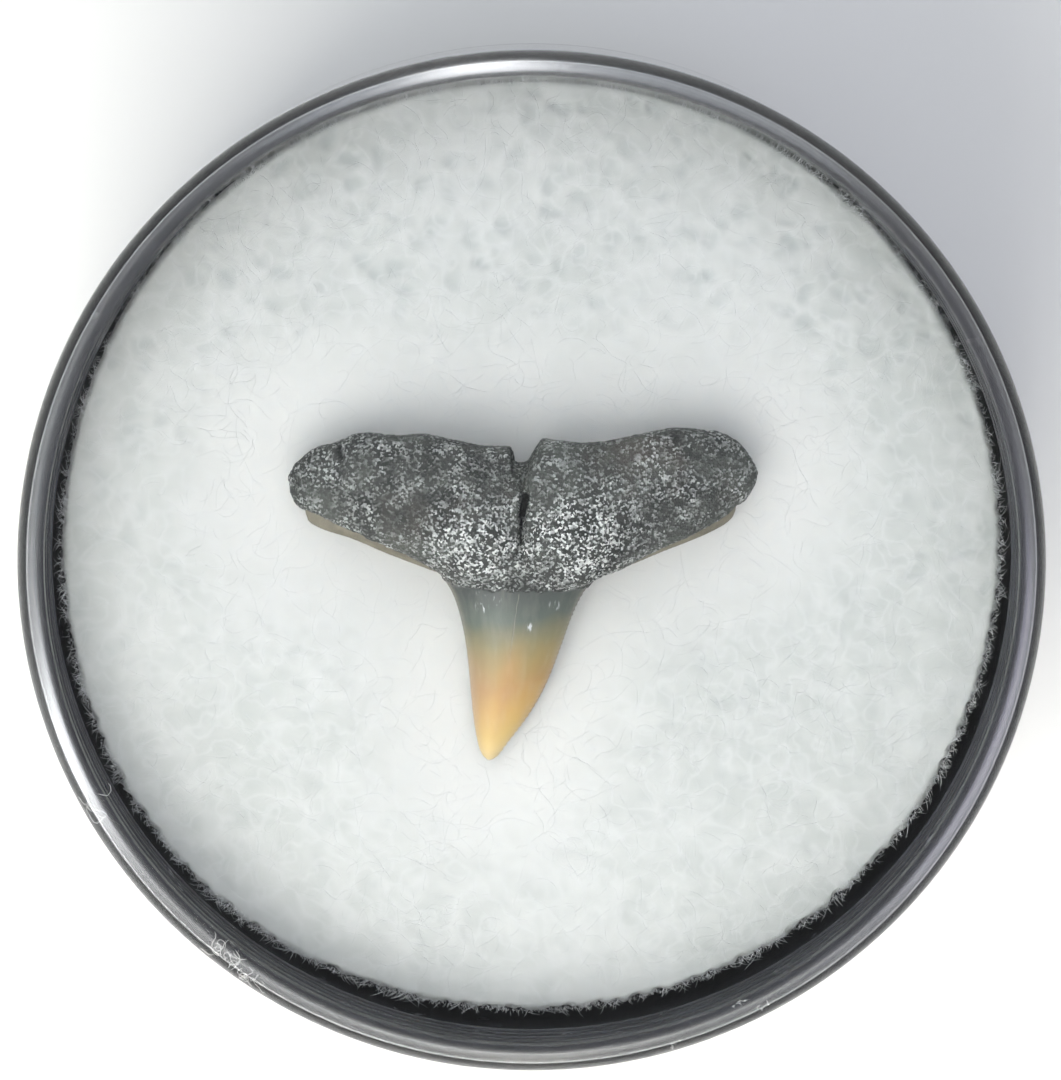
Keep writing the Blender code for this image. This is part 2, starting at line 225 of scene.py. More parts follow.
ENAMEL_SCRATCH_GLINT = (0.85, 0.86, 0.86, 1.0)
FLOOR_DARK, FLOOR_LIGHT = (0.84, 0.845, 0.85, 1.0), (0.87, 0.874, 0.88, 1.0)
# The crown's colour from its tip up to the root: y in millimetres, and colour
CROWN_BANDS = (
    (-6.7, (0.90, 0.68, 0.31)),
    (-5.6, (0.80, 0.56, 0.20)),
    (-4.6, (0.74, 0.46, 0.15)),
    (-3.6, (0.59, 0.355, 0.13)),
    (-2.8, (0.47, 0.34, 0.135)),
    (-2.0, (0.31, 0.275, 0.145)),
    (-1.0, (0.135, 0.158, 0.132)),
    (0.2, (0.085, 0.095, 0.086)),
)

# The studio's brightness by height, from level to overhead, and by bearing, from -X round through -Y
WALL_STRENGTH = 2.05
WALL_HEIGHTS = (
    (0.0, (0.62, 0.63, 0.62)),
    (0.40, (0.86, 0.88, 0.87)),
    (0.75, (0.90, 0.92, 0.91)),
    (0.90, (0.36, 0.37, 0.37)),
    (0.97, (0.14, 0.145, 0.145)),
)
WALL_PANELS = (
    (0.02, (0.78, 0.80, 0.84)),
    (0.12, (0.55, 0.56, 0.58)),
    (0.17, (0.32, 0.32, 0.33)),
    (0.25, (0.42, 0.40, 0.36)),
    (0.33, (0.32, 0.32, 0.34)),
    (0.39, (0.58, 0.57, 0.72)),
    (0.47, (0.56, 0.55, 0.68)),
    (0.52, (0.27, 0.27, 0.30)),
    (0.60, (0.34, 0.32, 0.31)),
    (0.64, (0.66, 0.64, 0.60)),
    (0.72, (0.80, 0.84, 0.92)),
    (0.82, (0.66, 0.70, 0.80)),
    (0.86, (0.34, 0.34, 0.36)),
    (0.95, (0.32, 0.32, 0.34)),
    (0.99, (0.70, 0.72, 0.76)),
)
# Between these heights the panels fade out, to an even grey overhead
PANELS_END, CEILING_START = 0.55, 0.85
CEILING = (0.5, 0.5, 0.5, 1.0)

# Lights: name, azimuth, elevation, distance, width and height, power and colour
KEY_LIGHT = ("key_light", 244.0, 50.0, 0.125, (0.110, 0.070), 0.205, (1.0, 0.97, 0.885))
# Panels that show only in the jar's gloss
SHEEN_PANELS = (
    ("left_glint", 209.0, 30.0, 0.42, (0.080, 0.34), 2.6, (0.95, 0.98, 1.0)),
    ("left_haze", 205.0, 30.0, 0.42, (0.24, 0.34), 0.45, (0.95, 0.97, 1.0)),
    ("top_glint", 99.5, 30.0, 0.42, (0.026, 0.34), 1.5, (0.98, 0.99, 1.0)),
    ("second_glint", 92.5, 30.0, 0.42, (0.020, 0.34), 1.15, (0.98, 0.99, 1.0)),
    ("top_haze", 84.0, 36.0, 0.42, (0.50, 0.26), 1.6, (0.88, 0.94, 1.0)),
    ("low_glint", 269.0, 26.0, 0.42, (0.045, 0.20), 0.15, (1.0, 0.94, 0.84)),
    ("right_haze", 332.0, 40.0, 0.42, (0.24, 0.22), 0.9, (0.84, 0.80, 1.0)),
)
FLOOR_SIZE = 3.0


def deselect_all():
    if bpy.context.object is not None and bpy.context.object.mode != "OBJECT":
        bpy.ops.object.mode_set(mode="OBJECT")
    bpy.ops.object.select_all(action="DESELECT")


def activate(piece):
    deselect_all()
    piece.select_set(True)
    bpy.context.view_layer.objects.active = piece


def apply_modifiers(piece):
    activate(piece)
    for modifier in list(piece.modifiers):
        bpy.ops.object.modifier_apply(modifier=modifier.name)


def paint(piece, name, values):
    """Stores one value for each vertex; vertices past the last value get 0."""
    attribute = piece.data.attributes.new(name, "FLOAT", "POINT")
    attribute.data.foreach_set("value", values + [0.0] * (len(piece.data.vertices) - len(values)))


def finish_piece(piece, name, slot, *nodes):
    """Names a piece, says what it rides on and hides the CAD nodes it stands for; slot is not used."""
    piece.name = name
    piece.data.name = name
    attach(piece, "root")
    if nodes:
        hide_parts(*nodes)
    return piece


def smooth_share(low, high, value):
    """0 below low, 1 above high, and a smooth step between."""
    share = max(0.0, min(1.0, (value - low) / (high - low)))
    return share * share * (3.0 - 2.0 * share)


# Materials

class Tree:
    """A material's nodes, added one by one from left to right."""

    def __init__(self, name):
        self.material = bpy.data.materials.new(name)
        self.material.use_nodes = True
        self.nodes = self.material.node_tree.nodes
        self.links = self.material.node_tree.links
        self.shader = self.nodes["Principled BSDF"]
        self.output = self.nodes["Material Output"]
        self.place = self.nodes.new("ShaderNodeTexCoord").outputs["Object"]

    def set(self, **values):
        for name, value in values.items():
            self.shader.inputs[name.replace("_", " ")].default_value = value

    def add(self, kind, inputs=(), **settings):
        node = self.nodes.new(kind)
        for name, value in settings.items():
            setattr(node, name, value)
        for key, value in dict(inputs).items():
            if isinstance(value, bpy.types.NodeSocket):
                self.links.new(value, node.inputs[key])
            else:
                node.inputs[key].default_value = value
        return node

    def feed(self, socket, target):
        self.links.new(socket, self.shader.inputs[target])

    def math(self, operation, first, second=0.0, clamp=False):
        node = self.add("ShaderNodeMath", {0: first, 1: second}, operation=operation, use_clamp=clamp)
        return node.outputs[0]

    def times(self, first, second):
        return self.math("MULTIPLY", first, second)

    def plus(self, first, second):
        return self.math("ADD", first, second)

    def size(self, value):
        return self.math("ABSOLUTE", value)

    def mix(self, share, first, second):
        return self.add("ShaderNodeMix", {0: share, 6: first, 7: second}, data_type="RGBA").outputs[2]

    def noise(self, scale, detail=4.0, roughness=0.55, vector=None):
        inputs = {"Vector": vector or self.place, "Scale": scale, "Detail": detail, "Roughness": roughness}
        return self.add("ShaderNodeTexNoise", inputs).outputs["Fac"]

    def wander(self, scale, reach):
        """A drift to both sides of zero, as wide as reach in all."""
        return self.times(self.math("SUBTRACT", self.noise(scale, 2.0), 0.5), reach)

    def spread(self, value, low, high, out_low=0.0, out_high=1.0):
        inputs = {"Value": value, "From Min": low, "From Max": high, "To Min": out_low, "To Max": out_high}
        return self.add("ShaderNodeMapRange", inputs).outputs["Result"]

    def stretched(self, scale):
        return self.add("ShaderNodeMapping", {"Vector": self.place, "Scale": scale}).outputs["Vector"]

    def bump(self, height, distance, strength):
        inputs = {"Height": height, "Distance": distance, "Strength": strength}
        return self.add("ShaderNodeBump", inputs).outputs["Normal"]

    def attribute(self, name):
        return self.add("ShaderNodeAttribute", attribute_name=name).outputs["Fac"]


def clear_plastic():
    """The lid: clear moulded plastic with a faint smoky tint down the wall, and a worn edge."""
    tree = Tree("clear_plastic")
    tree.set(Base_Color=(1.0, 1.0, 1.0, 1.0), Transmission_Weight=1.0, IOR=1.49)
    tree.feed(tree.times(tree.attribute("edge"), LID_EDGE_ROUGHNESS), "Roughness")
    absorb = tree.add("ShaderNodeVolumeAbsorption", {"Color": LID_TINT, "Density": LID_TINT_DENSITY})
    tree.links.new(absorb.outputs["Volume"], tree.output.inputs["Volume"])
    return tree.material


def dark_plastic():
    """The base: dark glossy plastic with fine rubs."""
    tree = Tree("dark_plastic")
    tree.set(IOR=1.5)
    tree.feed(tree.mix(tree.noise(300.0), BASE_DARK, BASE_LIGHT), "Base Color")
    rubs = tree.noise(700.0, 4.0, 0.6)
    tree.feed(tree.spread(rubs, 0.3, 0.8, 0.14, 0.32), "Roughness")
    return tree.material


def white_fibre(name, dark, light, rough):
    """Polyester fibre: near white, in patches that are a little darker and lighter."""
    tree = Tree(name)
    tree.set(Roughness=rough, IOR=1.45)
    patches = tree.noise(900.0, 1.0, 0.6)
    broad = tree.noise(110.0, 1.0, 0.5)
    shade = tree.plus(tree.times(patches, 0.5), tree.times(broad, 0.5))
    colour = tree.mix(tree.spread(shade, 0.35, 0.62), dark, light)
    tree.feed(colour, "Base Color")
    return tree, colour


def pad_material():
    """The pad's batting: painted shade greys its hollows, painted light lifts it round the tooth, and it
    is lighter along the web's ridges.
    """
    tree, colour = white_fibre("white_batting", BATTING_DARK, BATTING_LIGHT, 0.9)
    # painted shade: the batting is greyed in the hollows of its cells
    colour = tree.mix(tree.times(tree.attribute("hollow"), 0.5), colour, BATTING_HOLLOW_SHADE)
    # painted light: round the tooth the batting is lifted to near white, against the tooth's shadow
    colour = tree.mix(tree.attribute("bed_light"), colour, BATTING_BED_LIGHT)
    ridge = tree.size(tree.math("SUBTRACT", tree.noise(1100.0, 1.0, 0.6), 0.5))
    colour = tree.mix(tree.spread(ridge, 0.0, 0.06, 0.45, 0.0), colour, BATTING_WEB)
    tree.feed(colour, "Base Color")
    return tree.material


def strand_material():
    return white_fibre("white_strands", STRAND_DARK, STRAND_LIGHT, 0.7)[0].material


def fringe_material():
    return white_fibre("white_fringe", FRINGE_DARK, FRINGE_LIGHT, 0.8)[0].material


def root_stone(tree, grains):
    """Charcoal stone with pale grains, thickest on the swellings beside the groove, and painted shade in
    its creases and groove.
    """
    mottle = tree.noise(600.0, 5.0, 0.6)
    stone = tree.mix(tree.spread(mottle, 0.35, 0.65), STONE_DARK, STONE_LIGHT)
    warm = tree.noise(420.0, 3.0)
    stone = tree.mix(tree.spread(warm, 0.55, 0.8, 0.0, 0.5), stone, STONE_WARM)
    amount = tree.times(tree.spread(grains, 0.50, 0.92), tree.attribute("grain"))
    stone = tree.mix(amount, stone, STONE_GRAIN)
    # painted shade: the creases and the groove are darkened almost to black
    return tree.mix(tree.times(tree.attribute("crease"), 0.92), stone, STONE_CREASE_SHADE)


def crown_enamel(tree, y_mm):
    """Grey-blue under the root, then tan and orange, cream at the tip, pinker on the left edge."""
    across = tree.attribute("across")
    down = tree.plus(tree.plus(y_mm, tree.wander(420.0, 1.3)), tree.times(across, -0.25))
    tip, top = CROWN_BANDS[0][0], CROWN_BANDS[-1][0]
    bands = tree.add("ShaderNodeValToRGB", {"Fac": tree.spread(down, tip, top)})
    set_ramp(bands, [((place - tip) / (top - tip), colour) for place, colour in CROWN_BANDS])
    enamel = bands.outputs["Color"]
    warm_zone = tree.times(tree.spread(down, -1.6, -2.8), tree.spread(down, -6.2, -4.6))
    off_middle = tree.size(tree.plus(tree.times(across, 2.6), 0.1))
    middle = tree.math("SUBTRACT", 1.0, off_middle, clamp=True)
    enamel = tree.mix(tree.times(tree.times(middle, warm_zone), 0.5), enamel, ENAMEL_ORANGE)
    left = tree.spread(across, -0.25, -0.85)
    enamel = tree.mix(tree.times(tree.times(left, warm_zone), 0.5), enamel, ENAMEL_PINK)
    enamel = tree.mix(tree.times(tree.attribute("edge"), 0.3), enamel, ENAMEL_EDGE)
    streaks = tree.noise(2600.0, 3.0, 0.6, tree.stretched((1.0, 0.12, 1.0)))
    return tree.mix(tree.spread(streaks, 0.5, 0.75, 0.0, 0.10), enamel, ENAMEL_STREAK)


def crown_crack(tree, x_mm, y_mm):
    """Share of the pale hairline that runs down the crown from the middle of the root."""
    line_x = tree.plus(tree.times(y_mm, 0.136), -0.073)
    line_x = tree.plus(line_x, tree.wander(2600.0, 0.08))
    gap = tree.size(tree.plus(tree.math("SUBTRACT", x_mm, line_x), tree.wander(900.0, 0.10)))
    span = tree.times(tree.spread(y_mm, -2.9, -1.4), tree.spread(y_mm, -0.05, -0.15))
    return tree.times(tree.spread(gap, 0.005, 0.032, 1.0, 0.0), span)


def heel_flange(tree):
    """Thin brown-grey enamel of the heels."""
    drift = tree.spread(tree.noise(1500.0), 0.3, 0.7)
    flange = tree.mix(drift, HEEL_DARK, HEEL_LIGHT)
    return tree.mix(tree.times(tree.attribute("rim"), 0.35), flange, HEEL_RIM)


def from_origin(tree, socket, origin):
    """A coordinate from the tooth's own origin, in millimetres."""
    return tree.times(tree.math("SUBTRACT", socket, origin), 1 / MM)


def tooth_material():
    """One material for the whole tooth, told apart by painted shares and by place."""
    tree = Tree("fossil_tooth")
    tree.set(IOR=1.55)
    root = tree.attribute("root")
    split = tree.add("ShaderNodeSeparateXYZ", {"Vector": tree.place})
    x_mm = from_origin(tree, split.outputs["X"], TOOTH_ORIGIN.x)
    y_mm = from_origin(tree, split.outputs["Y"], TOOTH_ORIGIN.y)
    cells = tree.add("ShaderNodeTexVoronoi", {"Vector": tree.place, "Scale": 12000.0})
    grains = tree.add("ShaderNodeSeparateColor", {"Color": cells.outputs["Color"]}).outputs["Red"]

    crack = crown_crack(tree, x_mm, y_mm)
    enamel = tree.mix(tree.times(crack, 0.55), crown_enamel(tree, y_mm), ENAMEL_CRACK)
    # painted highlight: short near-white streaks stand in for glints on scratches at the crown's base
    glint_marks = tree.noise(7000.0, 2.0, 0.6, tree.stretched((1.0, 0.22, 1.0)))
    glint_marks = tree.times(tree.spread(glint_marks, 0.55, 0.66), tree.attribute("scratch_glint"))
    enamel = tree.mix(glint_marks, enamel, ENAMEL_SCRATCH_GLINT)
    crown = tree.mix(tree.attribute("heel"), enamel, heel_flange(tree))
    colour = tree.mix(root, crown, root_stone(tree, grains))
    off_seam = tree.size(tree.math("SUBTRACT", tree.times(root, 2.0), 1.0))
    seam = tree.math("SUBTRACT", 1.0, off_seam)
    tree.feed(tree.mix(tree.times(seam, 0.7), colour, SEAM), "Base Color")

    gloss = tree.spread(tree.noise(2600.0, 3.0), 0.3, 0.7, 0.36, 0.5)
    matt = tree.spread(grains, 0.0, 1.0, 0.75, 0.5)
    rough = tree.add("ShaderNodeMix", {0: root, 2: gloss, 3: matt}, data_type="FLOAT")
    tree.feed(rough.outputs[0], "Roughness")
    fine = tree.times(tree.plus(cells.outputs["Distance"], tree.noise(2600.0)), root)
    fine = tree.math("SUBTRACT", fine, tree.times(crack, 0.4))
    tree.feed(tree.bump(fine, 0.06 * MM, 0.7), "Normal")
    return tree.material


def floor_material():
    tree = Tree("pale_floor")
    tree.set(Roughness=0.7)
    tree.feed(tree.mix(tree.noise(30.0, 1.0), FLOOR_DARK, FLOOR_LIGHT), "Base Color")
    return tree.material


# Turned pieces

def arc(centre_r, centre_z, radius, start_degrees, end_degrees, steps):
    """Points of an arc in the (r, z) plane, both ends included."""
    points = []
    for step in range(steps + 1):
        angle = math.radians(start_degrees + (end_degrees - start_degrees) * step / steps)
        points.append((centre_r + radius * math.cos(angle), centre_z + radius * math.sin(angle)))
    return points


def extrude_ring(ring, next_ring, centre_y=0.0):
    """Extrudes the selected ring to the next one. A ring is its radius and height."""
    rise = next_ring[1] - ring[1]
    share = next_ring[0] / ring[0]
    bpy.ops.mesh.extrude_region_move(TRANSFORM_OT_translate={"value": (0.0, 0.0, rise)})
    bpy.ops.transform.resize(value=(share, share, 1.0), center_override=(0.0, centre_y, next_ring[1]))


def turned_piece(profile):
    """A closed turned body: a circle is extruded and resized along the profile, then capped."""
    deselect_all()
    radius, height = profile[0]
    bpy.ops.mesh.primitive_circle_add(vertices=TURN_STEPS, radius=radius, location=(0.0, 0.0, 0.0))
    piece = bpy.context.object
    bpy.ops.object.mode_set(mode="EDIT")
    bpy.ops.mesh.select_all(action="SELECT")
    bpy.ops.transform.translate(value=(0.0, 0.0, height))
    bpy.ops.mesh.edge_face_add()
    bpy.ops.mesh.select_all(action="SELECT")
    for ring, next_ring in zip(profile, profile[1:]):
        extrude_ring(ring, next_ring)
    bpy.ops.mesh.select_all(action="SELECT")
    bpy.ops.mesh.normals_make_consistent(inside=False)
    bpy.ops.object.mode_set(mode="OBJECT")
    return piece


def shade_by_angle(piece):
    activate(piece)
    bpy.ops.object.shade_smooth_by_angle(angle=math.radians(SMOOTH_ANGLE))


def worn_share(place):
    """1 on the lid's rounded outer edge, 0 on its window, its wall and its inside."""
    radius = math.hypot(place.x, place.y)
    outside = place.z > WINDOW_UNDERSIDE + 0.01 * MM or radius > LID_BORE + 0.05 * MM
    above_wall = place.z > JAR_TOP - LID_EDGE_ROUND + 0.01 * MM
    if not (outside and above_wall):
        return 0.0
    return smooth_share(JAR_RADIUS - LID_EDGE_ROUND, JAR_RADIUS - 0.8 * LID_EDGE_ROUND, radius)


def make_lid():
    hub, ring = WINDOW_RINGS
    profile = [(hub, JAR_TOP), (ring, JAR_TOP)]
    profile += arc(JAR_RADIUS - LID_EDGE_ROUND, JAR_TOP - LID_EDGE_ROUND, LID_EDGE_ROUND, 90, 0, 12)
    profile += arc(JAR_RADIUS - LID_LIP_ROUND, LID_MOUTH + LID_LIP_ROUND, LID_LIP_ROUND, 0, -90, 3)
    profile += [(LID_BORE, LID_MOUTH)]
    corner_r, corner_z = LID_BORE - LID_INNER_ROUND, WINDOW_UNDERSIDE - LID_INNER_ROUND
    profile += arc(corner_r, corner_z, LID_INNER_ROUND, 0, 90, 6)
    profile += [(ring, WINDOW_UNDERSIDE), (hub, WINDOW_UNDERSIDE)]
    lid = turned_piece(profile)
    paint(lid, "edge", [worn_share(corner.co) for corner in lid.data.vertices])
    lid.data.materials.append(clear_plastic())
    shade_by_angle(lid)
    return finish_piece(lid, "lid_shell", "clear_plastic", "jar_lid")


def neck_profile():
    """The neck from the shoulder up over its beads, over its rim and down its ribbed bore."""
    plain = NECK_RADIUS - BEAD_DEPTH
    rim_z = NECK_TOP - NECK_RIM_ROUND
    profile = [(plain, SHOULDER)]
    for height in NECK_BEADS:
        for step in range(BEAD_STEPS + 1):
            angle = math.pi * step / BEAD_STEPS
            lift = BEAD_HEIGHT / 2 * (2 * step / BEAD_STEPS - 1)
            profile.append((plain + BEAD_DEPTH * math.sin(angle), height + lift))
    profile += arc(plain - NECK_RIM_ROUND, rim_z, NECK_RIM_ROUND, 0, 90, 4)
    profile += arc(NECK_BORE + NECK_RIM_ROUND, rim_z, NECK_RIM_ROUND, 90, 180, 4)
    for height, depth in BORE_RIBS:
        for step in range(RIB_STEPS + 1):
            angle = math.pi * step / RIB_STEPS
            rib_z = height + RIB_HALF_HEIGHT * math.cos(angle)
            profile.append((NECK_BORE - depth * math.sin(angle), rib_z))
    return profile


def make_base():
    cup = FOOT_RADIUS - BASE_WALL
    profile = [(HUB_RADIUS, 0.0)]
    profile += arc(FOOT_RADIUS - FOOT_ROUND, FOOT_ROUND, FOOT_ROUND, -90, 0, 8)
    profile += arc(JAR_RADIUS - SHOULDER_ROUND, SHOULDER - SHOULDER_ROUND, SHOULDER_ROUND, 0, 90, 3)
    profile += neck_profile()
    profile += [(NECK_BORE, SHOULDER), (cup, BASE_FLOOR + FOOT_ROUND)]
    profile += [(cup - FOOT_ROUND, BASE_FLOOR), (HUB_RADIUS, BASE_FLOOR)]
    base = turned_piece(profile)
    base.data.materials.append(dark_plastic())
    shade_by_angle(base)
    return finish_piece(base, "base_cup", "dark_plastic", "jar_base")


# Fibre pad

def distance_to_line(point, start, end):
    way = end - start
    share = max(0.0, min(1.0, (point - start).dot(way) / way.length_squared))
    return (point - start - way * share).length, share


def distance_to_tooth(x, y):
    """How far a plan point lies outside the tooth, in metres."""
    point = Vector((x - TOOTH_ORIGIN.x, y - TOOTH_ORIGIN.y, 0.0))
    gaps = []
    for end, start_half, end_half in TOOTH_BARS:
        gap, share = distance_to_line(point, TOOTH_MIDDLE * MM, end * MM)
        gaps.append(gap - (start_half - (start_half - end_half) * share) * MM)
    return min(gaps)


def pad_share(x, y):
    """How far out a plan point lies on the pad, 1 at its edge."""
    return math.hypot(x, y - PAD_SHIFT) / PAD_RADIUS


def pad_height(x, y):
    """The pad's smooth top: a crown rolled down to the wall, with the dent that holds the tooth."""
    share = min(1.0, pad_share(x, y))
    height = PAD_EDGE + (PAD_CROWN - PAD_EDGE) * (1.0 - share ** 2.6)
    roll = max(0.0, 1.0 - (1.0 - share) * PAD_RADIUS / PAD_ROLL)
    height -= PAD_ROLL * (1.0 - math.sqrt(1.0 - roll * roll))
    dent = smooth_share(0.0, DENT_REACH, distance_to_tooth(x, y) - DENT_MARGIN)
    if height > DENT_FLOOR:
        height = DENT_FLOOR + (height - DENT_FLOOR) * dent
    return height, dent


def edge_swell(x, y):
    """How much further the pad's edge reaches on the side where it crowds the neck."""
    turn = math.atan2(y, x) - SWELL_AZIMUTH
    turn = (turn + math.pi) % (2 * math.pi) - math.pi
    return SWELL_REACH * math.exp(-((turn / SWELL_WIDTH) ** 2))


def ragged_reach(x, y):
    """How many times further out a point of the pad moves, for its ragged and swollen edge."""
    share = pad_share(x, y)
    tufts = noise.fractal(Vector((x, y, 0.0)) / EDGE_TUFT, 0.6, 2.0, 3) - 0.4
    ragged = smooth_share(0.975, 1.0, share) * EDGE_RAGGEDNESS
    ragged *= smooth_share(14.0 * MM, -6.0 * MM, y) * tufts
    return 1.0 + ragged + edge_swell(x, y) * smooth_share(0.85, 1.0, share)


def pad_corner(u, v):
    """A point of the pad's top from its place in a square: place, share of hollow, and share of the
    painted light round the tooth.
    """
    x = u * math.sqrt(1.0 - v * v / 2) * PAD_RADIUS
    y = v * math.sqrt(1.0 - u * u / 2) * PAD_RADIUS + PAD_SHIFT
    height, dent = pad_height(x, y)
    reach = ragged_reach(x, y)
    x, y = x * reach, PAD_SHIFT + (y - PAD_SHIFT) * reach
    spot = Vector((x, y, 0.0)) / CELL_SIZE
    spot += 0.35 * noise.noise_vector(spot * 1.1)
    gaps, centres = noise.voronoi(spot)
    # Share of a cell's hollow: it sets both the hollow's depth and the painted shade in it, stronger
    # towards +Y and gone in the tooth's dent
    strength = 0.25 + 0.75 * smooth_share(-0.5, 0.6, noise.noise(centres[0] * 3.7))
    strength *= 0.30 + 0.70 * smooth_share(-9.0 * MM, 9.0 * MM, y)
    hollow = smooth_share(0.62, 0.10, gaps[0]) * strength * dent
    wave = noise.fractal(spot * 0.45, 0.8, 2.0, 3)
    lump = CELL_DEPTH * (wave * 0.6 - hollow)
    lump *= (0.25 + 0.75 * dent) * smooth_share(1.0, 0.97, pad_share(x, y))
    # 1 - dent is the share of painted light round the tooth
    return (x, y, height + lump), hollow, 1.0 - dent


def close_below(pad):
    """Extrudes the rim of the pad's top down and in, and caps it."""
    activate(pad)
    bpy.ops.object.mode_set(mode="EDIT")
    bpy.ops.mesh.select_mode(type="EDGE")
    bpy.ops.mesh.select_all(action="DESELECT")
    bpy.ops.mesh.select_non_manifold()
    ring = (PAD_RADIUS, PAD_EDGE - PAD_ROLL)
    for next_ring in PAD_RINGS:
        extrude_ring(ring, next_ring, PAD_SHIFT)
        ring = next_ring
    bpy.ops.mesh.edge_face_add()
    bpy.ops.mesh.select_all(action="SELECT")
    bpy.ops.mesh.normals_make_consistent(inside=False)
    bpy.ops.object.mode_set(mode="OBJECT")


def make_pad():
    deselect_all()
    bpy.ops.mesh.primitive_grid_add(x_subdivisions=PAD_GRID, y_subdivisions=PAD_GRID, size=2.0)
    pad = bpy.context.object
    noise.seed_set(CELL_SEED)
    hollows, bed_lights = [], []
    for corner in pad.data.vertices:
        corner.co, hollow, bed_light = pad_corner(corner.co.x, corner.co.y)
        hollows.append(hollow)
        bed_lights.append(bed_light)
    close_below(pad)
    # the hollows' share carries their painted shade
    paint(pad, "hollow", hollows)
    # the share of painted light round the tooth
    paint(pad, "bed_light", bed_lights)
    pad.data.shade_smooth()
    pad.data.materials.append(pad_material())
    return finish_piece(pad, "pad_body", "white_fibre", "fibre_pad")


# Fibres

def surface_finder(piece):
    """A function that gives the height of a piece's top over a plan point, or None beside it."""
    tree = BVHTree.FromPolygons(
        [corner.co for corner in piece.data.vertices],
        [face.vertices for face in piece.data.polygons],
    )

    def height_at(x, y):
        hit = tree.ray_cast(Vector((x, y, JAR_TOP)), Vector((0.0, 0.0, -1.0)))[0]
        return None if hit is None else hit.z

    return height_at


def strand_section(name, thickness):
    """A three-sided ring to sweep along the strands."""
    section = bpy.data.curves.new(name, "CURVE")
    section.dimensions = "2D"
    ring = section.splines.new("POLY")
    ring.points.add(2)
    ring.use_cyclic_u = True
    for corner in range(3):
        angle = 2 * math.pi * corner / 3
        ring.points[corner].co = (thickness * math.cos(angle), thickness * math.sin(angle), 0.0, 1.0)
    section_object = bpy.data.objects.new(name, section)
    bpy.context.scene.collection.objects.link(section_object)
    return section_object


def strands_to_mesh(name, strands, thickness):
    """Sweeps a three-sided section along each strand and makes one mesh of them."""
    section = strand_section(name + "_section", thickness)
    curve = bpy.data.curves.new(name, "CURVE")
    curve.dimensions = "3D"
    curve.bevel_mode = "OBJECT"
    curve.bevel_object = section
    curve.use_fill_caps = True
    for strand in strands:
        spline = curve.splines.new("POLY")
        spline.points.add(len(strand) - 1)
        flat = []
        for point in strand:
            flat += [point[0], point[1], point[2], 1.0]
        spline.points.foreach_set("co", flat)
        radii = [1.0] * len(strand)
        radii[0] = radii[-1] = STRAND_END
        spline.points.foreach_set("radius", radii)
    piece = bpy.data.objects.new(name, curve)
    bpy.context.scene.collection.objects.link(piece)
    activate(piece)
    bpy.ops.object.convert(target="MESH")
    piece = bpy.context.object
    bpy.data.objects.remove(section)
    piece.data.shade_smooth()
    return piece


def curly_strand(rng, height_at, tooth_at, x, y, length, lift):
    """A strand that wanders over the pad and dips in and out of it, clear of the tooth and the window."""
    heading = rng.uniform(0.0, 2 * math.pi)
    bend = rng.gauss(0.0, 0.35)
    step = length / (STRAND_POINTS - 1)
    phase = rng.uniform(0.0, 6.0)
    strand = []
    for index in range(STRAND_POINTS):
        ground = height_at(x, y)
        if ground is None or math.hypot(x, y - PAD_SHIFT) > PAD_RADIUS or tooth_at(x, y) is not None:
            break
        rise = lift * (0.35 + 0.65 * math.sin(phase + index * 0.9))
        strand.append((x, y, min(ground + rise, WINDOW_UNDERSIDE - 0.06 * MM)))
        bend = 0.75 * bend + rng.gauss(0.0, 0.22)
        heading += bend
        x += step * math.cos(heading)
        y += step * math.sin(heading)
    return strand if len(strand) >= 4 else None


def make_surface_strands(pad, tooth):
    height_at = surface_finder(pad)
    tooth_at = surface_finder(tooth)
    for batch in range(STRAND_PIECES):
        rng = random.Random(410 + batch)
        strands = []
        while len(strands) < STRANDS_EACH:
            radius = PAD_RADIUS * math.sqrt(rng.random())
            angle = rng.uniform(0.0, 2 * math.pi)
            x, y = radius * math.cos(angle), radius * math.sin(angle) + PAD_SHIFT
            length = rng.uniform(*STRAND_LENGTHS) * MM
            lift = rng.uniform(*STRAND_LIFTS) * MM
            strand = curly_strand(rng, height_at, tooth_at, x, y, length, lift)
            if strand:
                strands.append(strand)
        name = f"pad_strands_{batch + 1}"
        piece = strands_to_mesh(name, strands, rng.uniform(*STRAND_RADII) * MM)
        piece.data.materials.append(strand_material())
        finish_piece(piece, name, "white_fibre")


def fringe_strand(rng):
    """One end of fibre that stands out of the pad's rolled edge and stays clear of the neck."""
    angle = rng.uniform(0.0, 2 * math.pi)
    start = PAD_RADIUS - rng.uniform(0.0, 0.9 * PAD_ROLL)
    clump = 0.6 + 0.7 * noise.noise(Vector((math.cos(angle), math.sin(angle), 0.0)) * 38.0)
    reach = min(FRINGE_REACH * max(0.25, clump) * rng.expovariate(1.0), 2.6 * FRINGE_REACH)
    lean = rng.gauss(0.0, 0.55)
    rise = rng.uniform(-0.3, 0.5)
    height = pad_height(start * math.cos(angle), start * math.sin(angle) + PAD_SHIFT)[0]
    start *= 1.0 + edge_swell(math.cos(angle), math.sin(angle))
    strand = []
    for index in range(FRINGE_SPANS + 1):
        share = index / FRINGE_SPANS
        radius = start + reach * share
        turn = angle + lean * reach * share * (0.6 + share) / radius
        x, y = radius * math.cos(turn), radius * math.sin(turn) + PAD_SHIFT
        z = height + reach * rise * share + 0.04 * MM * math.sin(2.5 * share + angle * 31.0)
        over = math.hypot(x, y) / (NECK_BORE - 0.03 * MM)
        if over > 1.0:
            x, y = x / over, y / over
        strand.append((x, y, z))
    return strand


def make_fringe():
    rng = random.Random(77)
    strands = [fringe_strand(rng) for _ in range(FRINGE_COUNT)]
    piece = strands_to_mesh("pad_fringe", strands, FRINGE_RADIUS)
    piece.data.materials.append(fringe_material())
    return finish_piece(piece, "pad_fringe", "white_fibre")


